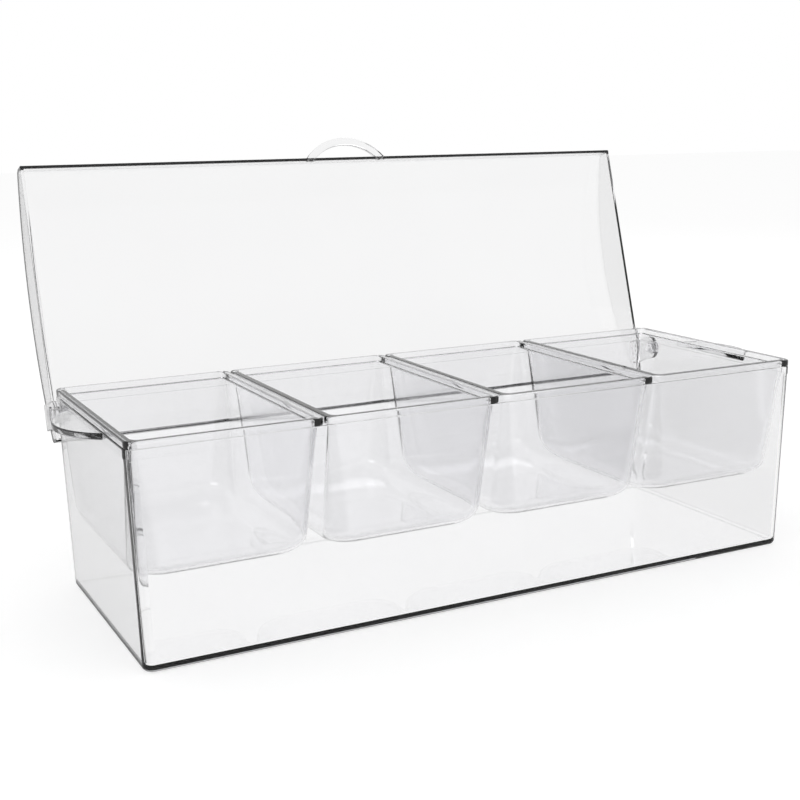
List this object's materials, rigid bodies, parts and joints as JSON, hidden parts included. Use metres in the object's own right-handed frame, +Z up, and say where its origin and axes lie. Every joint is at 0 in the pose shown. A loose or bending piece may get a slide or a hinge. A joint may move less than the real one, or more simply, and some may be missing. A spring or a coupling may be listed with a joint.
{
  "type": "condiment caddy",
  "caption": "Clear rectangular ice tray with lift-out rounded cups under a shared arched lid, hinged along the back, with half-moon carrying tabs and a loop handle.",
  "frame": {"origin": "on the table, at the centre of the tray's flat base", "axes": "+X along the tray's length to the viewer's right as seen from the front, +Y from the front to the hinged back, +Z up"},
  "size_m": [0.414, 0.199, 0.2326],
  "materials": {
    "tray_plastic": "clear, polished, injection moulded",
    "cup_plastic": "clear, polished, injection moulded",
    "lid_plastic": "clear, polished, injection moulded",
    "pin_plastic": "clear, polished, injection moulded"
  },
  "bodies": {
    "base": {"tray": "tray_plastic", "left_tab": "tray_plastic", "right_tab": "tray_plastic", "left_hinge_pin": "pin_plastic", "right_hinge_pin": "pin_plastic"},
    "lid": {"lid_shell": "lid_plastic", "lid_handle": "lid_plastic"},
    "cup_1": {"cup_1": "cup_plastic"},
    "cup_2": {"cup_2": "cup_plastic"},
    "cup_3": {"cup_3": "cup_plastic"},
    "cup_4": {"cup_4": "cup_plastic"}
  },
  "joints": [
    {"name": "lid_hinge", "type": "hinge", "parent": "base", "child": "lid", "pos_m": [0, 0.0592, 0.096], "axis": [-1, 0, 0], "range_deg": [-106.8, 0]},
    {"name": "cup_1_lift", "type": "slide", "parent": "base", "child": "cup_1", "axis": [0, 0, 1], "range_m": [0, 0.1]},
    {"name": "cup_2_lift", "type": "slide", "parent": "base", "child": "cup_2", "axis": [0, 0, 1], "range_m": [0, 0.1]},
    {"name": "cup_3_lift", "type": "slide", "parent": "base", "child": "cup_3", "axis": [0, 0, 1], "range_m": [0, 0.1]},
    {"name": "cup_4_lift", "type": "slide", "parent": "base", "child": "cup_4", "axis": [0, 0, 1], "range_m": [0, 0.1]}
  ]
}
